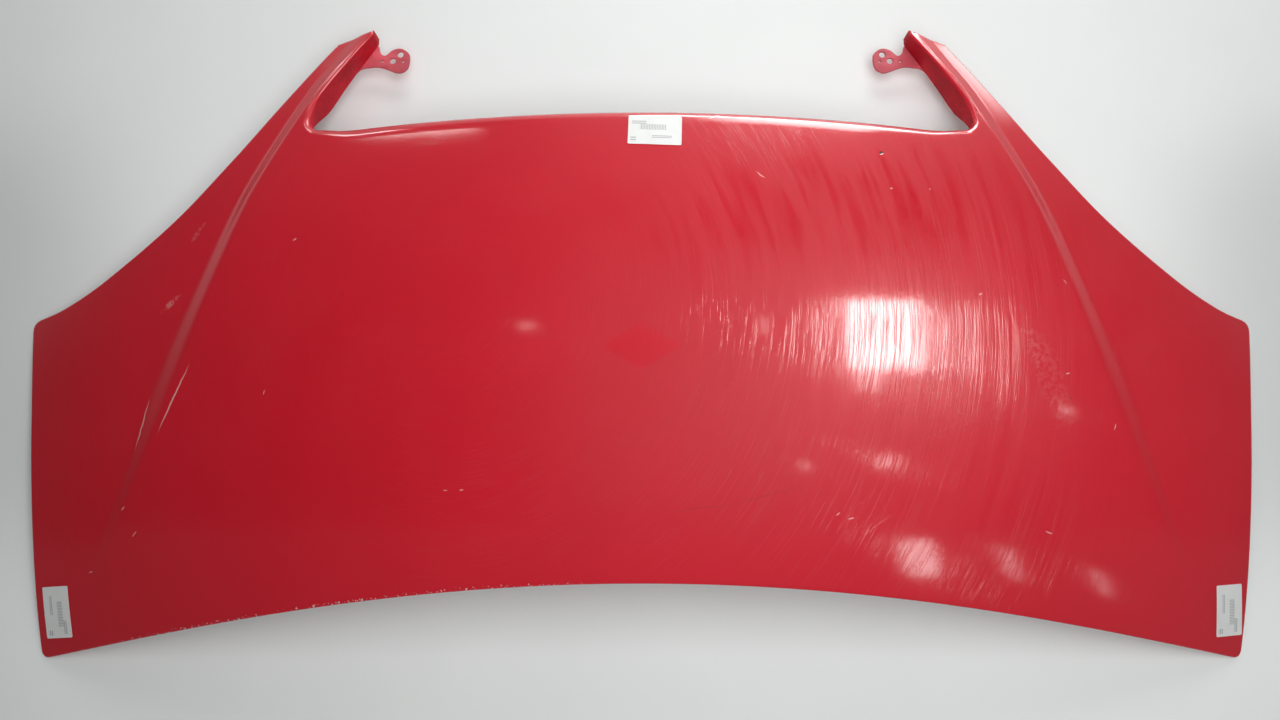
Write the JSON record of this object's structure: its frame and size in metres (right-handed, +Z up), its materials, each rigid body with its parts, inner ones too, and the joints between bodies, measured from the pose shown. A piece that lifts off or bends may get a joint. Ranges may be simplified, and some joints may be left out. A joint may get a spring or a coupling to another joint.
{
  "type": "car bonnet",
  "caption": "Red steel car bonnet with a crowned outer skin, a ribbed inner panel, a windscreen notch between two rear horns, and hinge lugs at the horn tips.",
  "frame": {"origin": "under the middle of the bonnet's bounding box, on the surface that it lies on, crown up", "axes": "+X to the car's left, +Y towards the windscreen, +Z up, out of the painted face"},
  "size_m": [1.4954, 0.7576, 0.1638],
  "materials": {
    "red_paint": "glossy red car paint under clear lacquer, with fine swirl scratches",
    "zinc_plate": "dull zinc plating",
    "black_rubber": "matt black rubber",
    "black_plastic": "matt black plastic",
    "label_paper": "matt white paper label, bare",
    "mastic": "dark grey soft mastic"
  },
  "bodies": {
    "root": {"outer_skin": "red_paint", "inner_panel": "red_paint", "hinge_plate_left": "red_paint", "hinge_plate_right": "red_paint", "latch_reinforcement": "red_paint", "striker": "zinc_plate", "striker_bolt_left": "zinc_plate", "striker_nut_left": "zinc_plate", "striker_bolt_right": "zinc_plate", "striker_nut_right": "zinc_plate", "rubber_buffer_left": "black_rubber", "rubber_buffer_right": "black_rubber", "prop_rod_socket": "black_plastic", "label_rear": "label_paper", "label_front_left": "label_paper", "label_front_right": "label_paper", "mastic_pad_1": "mastic", "mastic_pad_2": "mastic", "mastic_pad_3": "mastic", "mastic_pad_4": "mastic", "mastic_pad_5": "mastic", "mastic_pad_6": "mastic", "mastic_pad_7": "mastic", "mastic_pad_8": "mastic"}
  },
  "joints": []
}
